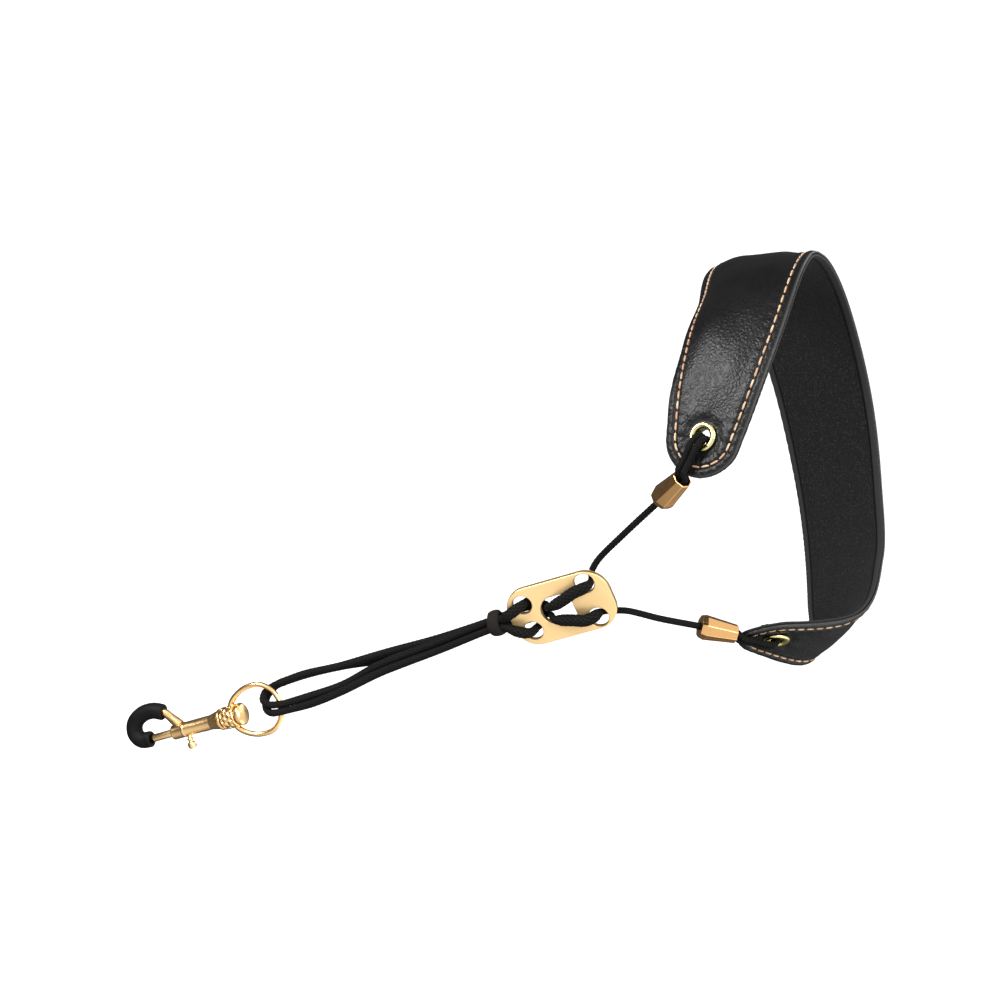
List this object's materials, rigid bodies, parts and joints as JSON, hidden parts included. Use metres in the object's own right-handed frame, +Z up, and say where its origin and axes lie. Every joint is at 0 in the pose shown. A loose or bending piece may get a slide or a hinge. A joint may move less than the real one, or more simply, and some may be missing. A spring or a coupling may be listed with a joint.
{
  "type": "saxophone neck strap",
  "caption": "Padded leather neck strap with a length-adjusting plate on a doubled cord, and a swivel bolt snap hook with a rubber-sleeved hook for a wind instrument.",
  "frame": {"origin": "middle of the lining face of the pad behind the neck, where the neck carries the strap", "axes": "+Z up as the strap hangs when worn, -Y towards the front of the player, +X towards the player's left"},
  "size_m": [0.184, 0.159, 0.3664],
  "materials": {
    "leather": "pebbled, soft sheen",
    "foam": "open cell foam",
    "lining": "napped suede",
    "thread": "waxed thread",
    "eyelet_brass": "polished",
    "bronze": "satin antique bronze",
    "cord": "braided",
    "keeper": "knitted",
    "plate_gold": "polished gold plate",
    "snap_gold": "polished gold plate",
    "rubber": "matte",
    "spring_steel": "drawn wire"
  },
  "bodies": {
    "pad": {"pad_outer_leather": "leather", "pad_foam_core": "foam", "pad_lining": "lining", "pad_stitching_thread": "thread", "left_eyelet": "eyelet_brass", "left_eyelet_washer": "eyelet_brass", "right_eyelet": "eyelet_brass", "right_eyelet_washer": "eyelet_brass", "left_knot": "cord", "right_knot": "cord", "left_tie_loop": "cord", "right_tie_loop": "cord", "left_leg_cord": "cord", "right_leg_cord": "cord"},
    "left_bell": {"left_cord_bell": "bronze"},
    "right_bell": {"right_cord_bell": "bronze"},
    "adjuster": {"adjuster_plate": "plate_gold", "left_plate_crossing_cord": "cord", "right_plate_crossing_cord": "cord", "plate_bridge_cord": "cord", "back_left_strand": "cord", "back_right_strand": "cord", "front_left_strand": "cord", "front_right_strand": "cord"},
    "keeper": {"cord_keeper_band": "keeper"},
    "hanger": {"left_ring_turn_cord": "cord", "right_ring_turn_cord": "cord"},
    "eye": {"swivel_eye_ring": "snap_gold"},
    "snap": {"snap_body": "snap_gold", "swivel_rivet": "snap_gold", "hook_sleeve": "rubber", "bolt_spring": "spring_steel"},
    "bolt": {"snap_bolt": "snap_gold", "bolt_thumb_knob": "snap_gold"}
  },
  "joints": [
    {"name": "left_bell_slide", "type": "slide", "parent": "pad", "child": "left_bell", "axis": [0.5501, 0.1761, -0.8163], "range_m": [0, 0.008]},
    {"name": "right_bell_slide", "type": "slide", "parent": "pad", "child": "right_bell", "axis": [-0.6683, -0.1048, -0.7365], "range_m": [0, 0.006]},
    {"name": "adjuster_slide", "type": "slide", "parent": "pad", "child": "adjuster", "axis": [0, 0, 1], "range_m": [-0.012, 0.012], "deforming": ["left_leg_cord", "right_leg_cord"]},
    {"name": "keeper_slide", "type": "slide", "parent": "adjuster", "child": "keeper", "axis": [0, 0, 1], "range_m": [-0.004, 0]},
    {"name": "hanger_slide", "type": "slide", "parent": "adjuster", "child": "hanger", "axis": [0, 0, 1], "range_m": [-0.006, 0.006], "deforming": ["back_left_strand", "back_right_strand", "front_left_strand", "front_right_strand"]},
    {"name": "ring_swing", "type": "hinge", "parent": "hanger", "child": "eye", "pos_m": [0.0098, -0.1398, -0.2536], "axis": [0.829, -0.5592, 0], "range_deg": [-10, 10]},
    {"name": "snap_swivel", "type": "hinge", "parent": "eye", "child": "snap", "pos_m": [0.0098, -0.1398, -0.2795], "axis": [0, 0, 1], "continuous": true},
    {"name": "bolt_slide", "type": "slide", "parent": "snap", "child": "bolt", "axis": [0, 0, 1], "range_m": [0, 0.006], "stiffness_N_per_m": 200, "springref_m": -0.002, "deforming": ["bolt_spring"]}
  ],
  "couplings": [
    {"joint": "hanger_slide", "follows": "adjuster_slide", "ratio": -0.5}
  ]
}
